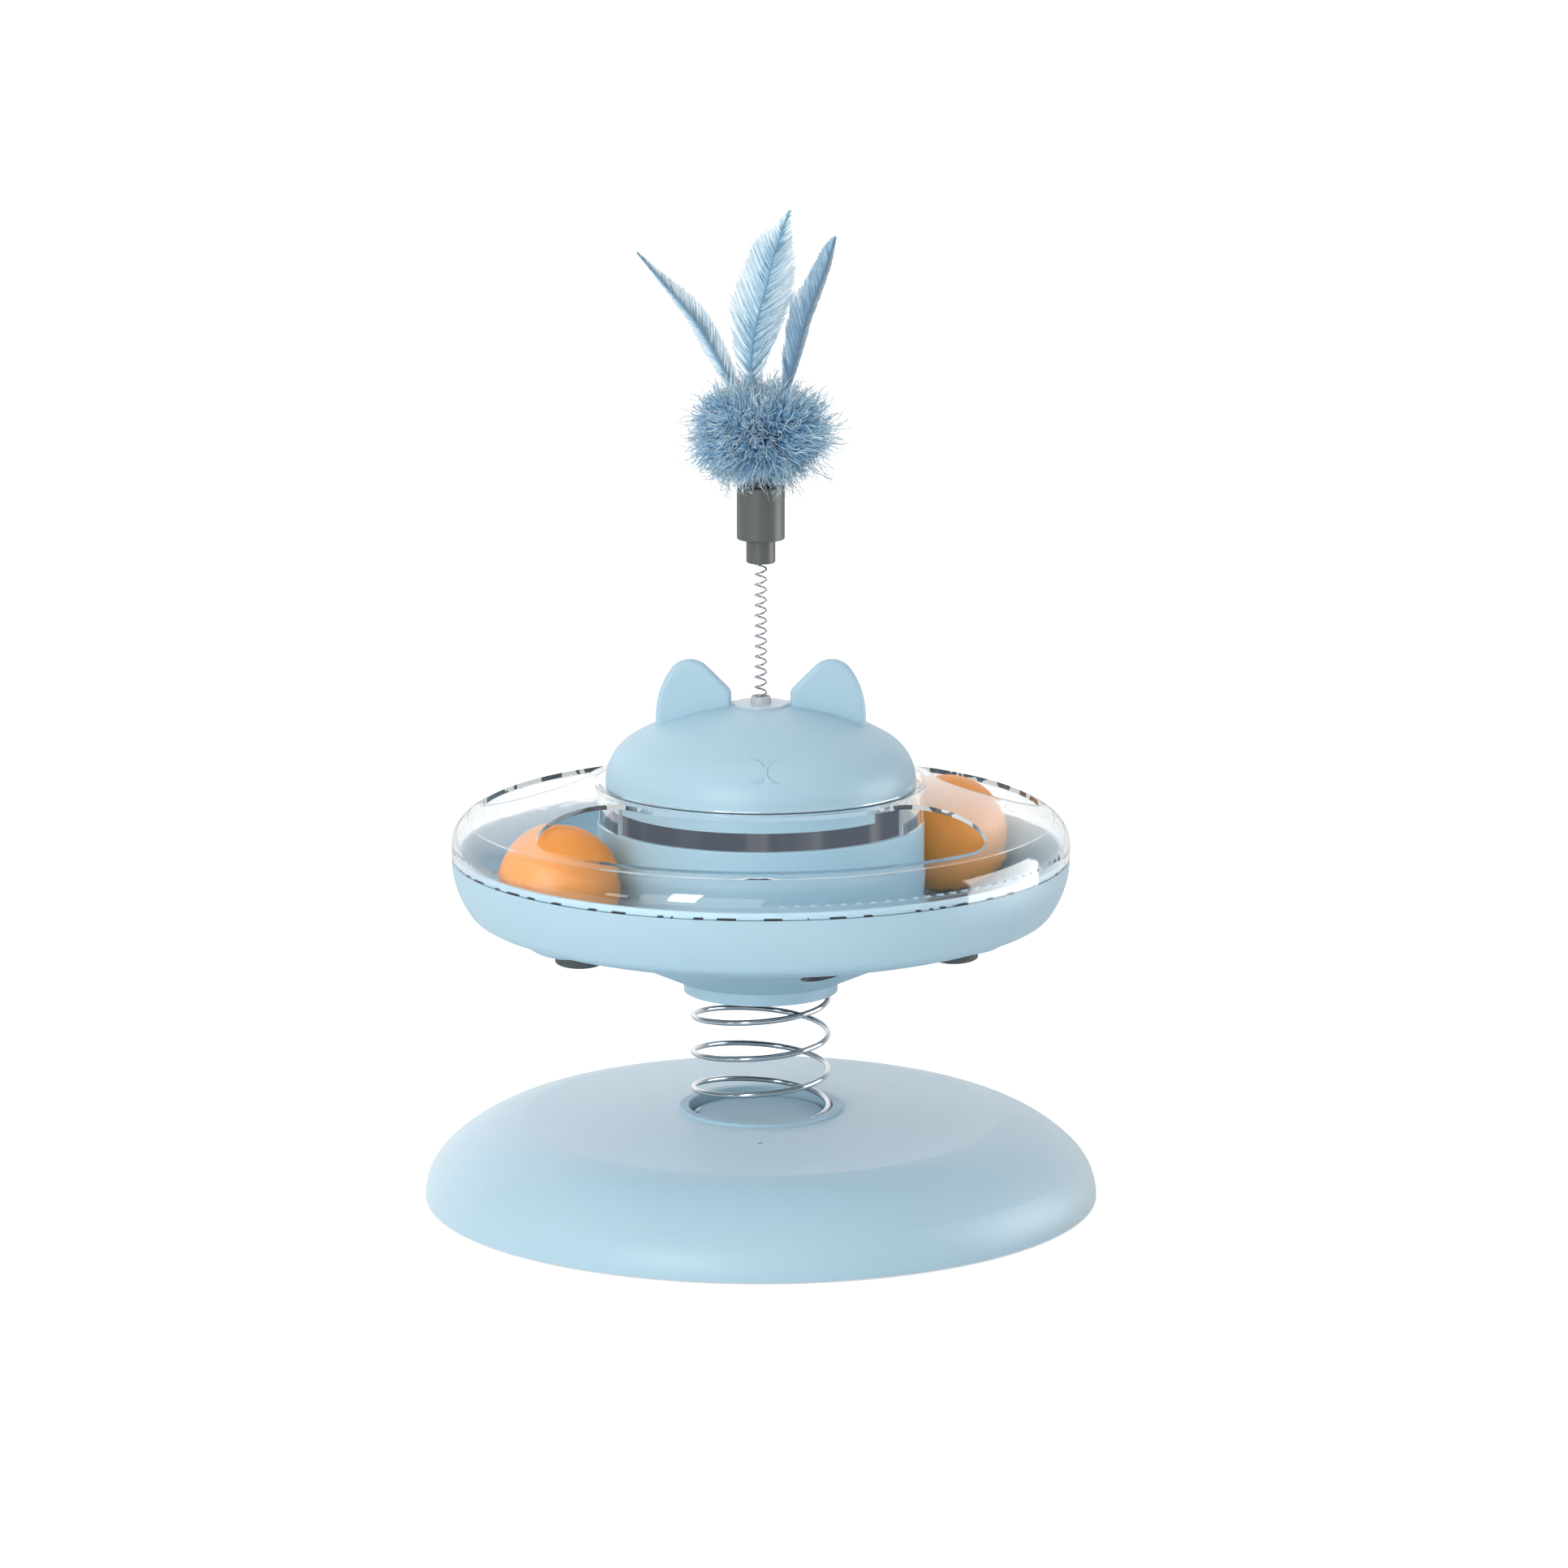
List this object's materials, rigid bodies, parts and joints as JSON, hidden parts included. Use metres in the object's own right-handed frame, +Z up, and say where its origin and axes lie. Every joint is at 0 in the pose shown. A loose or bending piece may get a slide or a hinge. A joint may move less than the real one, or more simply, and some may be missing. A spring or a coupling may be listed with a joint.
{
  "type": "cat track ball toy",
  "caption": "Rocking cat toy: track balls under a clear windowed cover on a coil spring over a weighted base, with a cat-head lid, treat drum and feather wand.",
  "frame": {"origin": "centre of the base's footprint, on the floor under the grip pads", "axes": "+Z up along the main spring, -Y towards the front of the cat head, +X to the viewer's right"},
  "size_m": [0.21, 0.21, 0.3079],
  "materials": {
    "pale_blue_plastic": "satin moulded",
    "clear_plastic": "clear, polished",
    "orange_plastic": "satin",
    "grey_plastic": "satin",
    "light_grey_plastic": "matte",
    "dark_plastic": "matte",
    "spring_steel": "bright",
    "screw_steel": "zinc plated",
    "ballast_steel": "matt painted sheet",
    "pad_rubber": "matte",
    "foot_rubber": "matte",
    "fluff": "downy",
    "feather": "barbed"
  },
  "bodies": {
    "base": {"base_shell": "pale_blue_plastic", "base_plate": "dark_plastic", "ballast_plate": "ballast_steel", "base_screws": "screw_steel", "grip_pads": "pad_rubber", "spring_cup": "pale_blue_plastic", "cup_clamp": "pale_blue_plastic", "cup_screws": "screw_steel"},
    "spring_lower": {"main_spring_lower": "spring_steel"},
    "spring_upper": {"main_spring_upper": "spring_steel"},
    "saucer": {"neck_socket": "pale_blue_plastic", "neck_clamp": "dark_plastic", "neck_screws": "screw_steel", "socket_lock_nut": "pale_blue_plastic", "track_bowl": "pale_blue_plastic", "saucer_feet": "foot_rubber", "treat_drum": "pale_blue_plastic"},
    "cover": {"clear_cover": "clear_plastic"},
    "lid": {"lid_dome": "pale_blue_plastic", "wand_plug": "clear_plastic", "plug_nut": "clear_plastic", "wand_bush": "light_grey_plastic"},
    "wand": {"wand_spring": "spring_steel"},
    "ferrule": {"wand_ferrule": "grey_plastic"},
    "teaser": {"teaser_sleeve": "grey_plastic", "quill_plug": "grey_plastic", "pompom": "fluff", "feather_left": "feather", "feather_centre": "feather", "feather_right": "feather"},
    "ball_a": {"ball_front": "orange_plastic"},
    "ball_b": {"ball_rear": "orange_plastic"}
  },
  "joints": [
    {"name": "saucer_bounce", "type": "slide", "parent": "base", "child": "spring_lower", "axis": [0, 0, 1], "range_m": [-0.008, 0.005], "stiffness_N_per_m": 420, "springref_m": 0.006, "deforming": ["main_spring_lower"]},
    {"name": "saucer_sway_side", "type": "hinge", "parent": "spring_lower", "child": "spring_upper", "pos_m": [0, 0, 0.0449], "axis": [0, 1, 0], "range_deg": [-20, 20], "stiffness_Nm_per_rad": 0.9},
    {"name": "saucer_sway_fore", "type": "hinge", "parent": "spring_upper", "child": "saucer", "pos_m": [0, 0, 0.058], "axis": [1, 0, 0], "range_deg": [-20, 20], "stiffness_Nm_per_rad": 0.9, "deforming": ["main_spring_upper"]},
    {"name": "ball_front_roll", "type": "hinge", "parent": "saucer", "child": "ball_a", "pos_m": [0, 0, 0.1062], "axis": [0, 0, 1], "continuous": true},
    {"name": "ball_rear_roll", "type": "hinge", "parent": "saucer", "child": "ball_b", "pos_m": [0, 0, 0.1062], "axis": [0, 0, 1], "continuous": true},
    {"name": "cover_lift", "type": "slide", "parent": "saucer", "child": "cover", "axis": [0, 0, 1], "range_m": [0, 0.03]},
    {"name": "lid_lift", "type": "slide", "parent": "cover", "child": "lid", "axis": [0, 0, 1], "range_m": [0, 0.04]},
    {"name": "wand_sway_side", "type": "hinge", "parent": "lid", "child": "wand", "pos_m": [0, 0, 0.17], "axis": [0, 1, 0], "range_deg": [-35, 35], "stiffness_Nm_per_rad": 0.08},
    {"name": "wand_sway_fore", "type": "hinge", "parent": "wand", "child": "ferrule", "pos_m": [0, 0, 0.188], "axis": [1, 0, 0], "range_deg": [-35, 35], "stiffness_Nm_per_rad": 0.08, "deforming": ["wand_spring"]},
    {"name": "teaser_pull", "type": "slide", "parent": "ferrule", "child": "teaser", "axis": [0, 0, 1], "range_m": [0, 0.014]}
  ],
  "couplings": [
    {"joint": "ball_rear_roll", "follows": "ball_front_roll", "ratio": 1}
  ]
}
